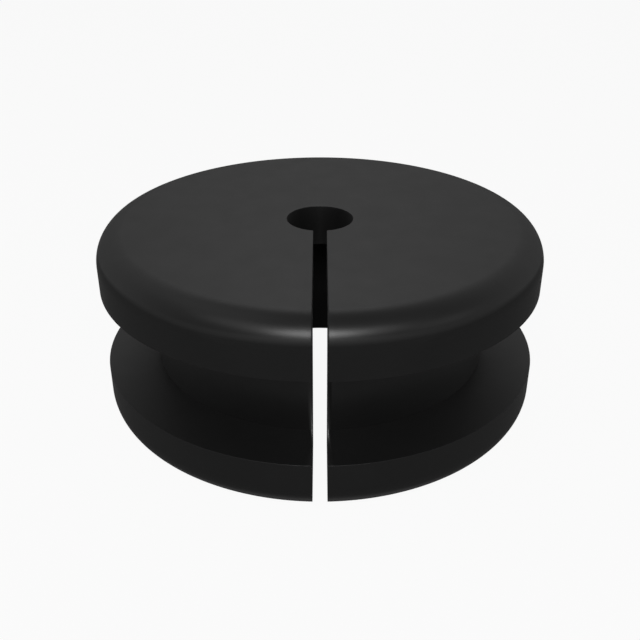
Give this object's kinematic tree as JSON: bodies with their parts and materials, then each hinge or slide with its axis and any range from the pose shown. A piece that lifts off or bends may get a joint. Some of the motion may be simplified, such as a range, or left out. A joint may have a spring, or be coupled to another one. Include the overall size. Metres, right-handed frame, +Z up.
{
  "type": "rubber grommet",
  "caption": "Split rubber cable grommet: two equal round flanges with rounded rims, a panel groove between them, a central cable bore, an open hollow below and a slit from bore to rim.",
  "frame": {"origin": "on the cable bore's axis, at the bottom face that the grommet stands on", "axes": "+Z up the cable bore, from the open hollow to the web's face; -Y from the bore towards the slit; +X to the right seen from the slit"},
  "size_m": [0.05, 0.05, 0.0215],
  "materials": {
    "rubber": "satin moulded"
  },
  "bodies": {
    "root": {"grommet": "rubber"}
  },
  "joints": []
}
